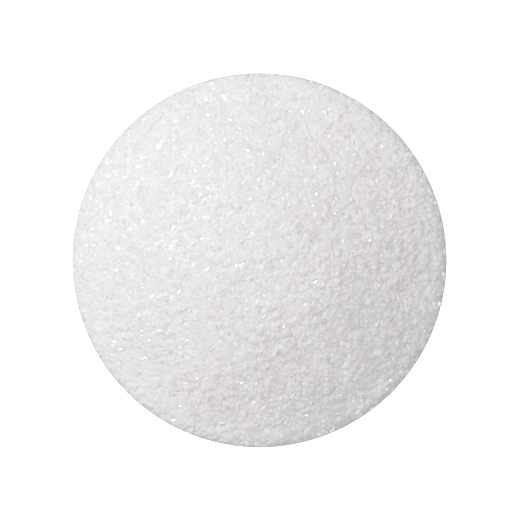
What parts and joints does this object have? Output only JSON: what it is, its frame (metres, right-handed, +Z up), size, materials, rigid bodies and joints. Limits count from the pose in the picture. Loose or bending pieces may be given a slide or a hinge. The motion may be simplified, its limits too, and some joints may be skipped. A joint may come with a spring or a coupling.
{
  "type": "heap of salt",
  "caption": "Round, low heap of white salt crystals lying loose on a flat surface, domed on top with a short foot that turns over at its edge.",
  "frame": {"origin": "middle of the heap's flat underside, on the surface it lies on", "axes": "+Z up through the top of the dome; +Y is the top of the picture and +X its right"},
  "size_m": [0.05, 0.05, 0.0093],
  "materials": {
    "salt": "white translucent crystals with small glints"
  },
  "bodies": {
    "root": {"salt_heap": "salt"}
  },
  "joints": []
}
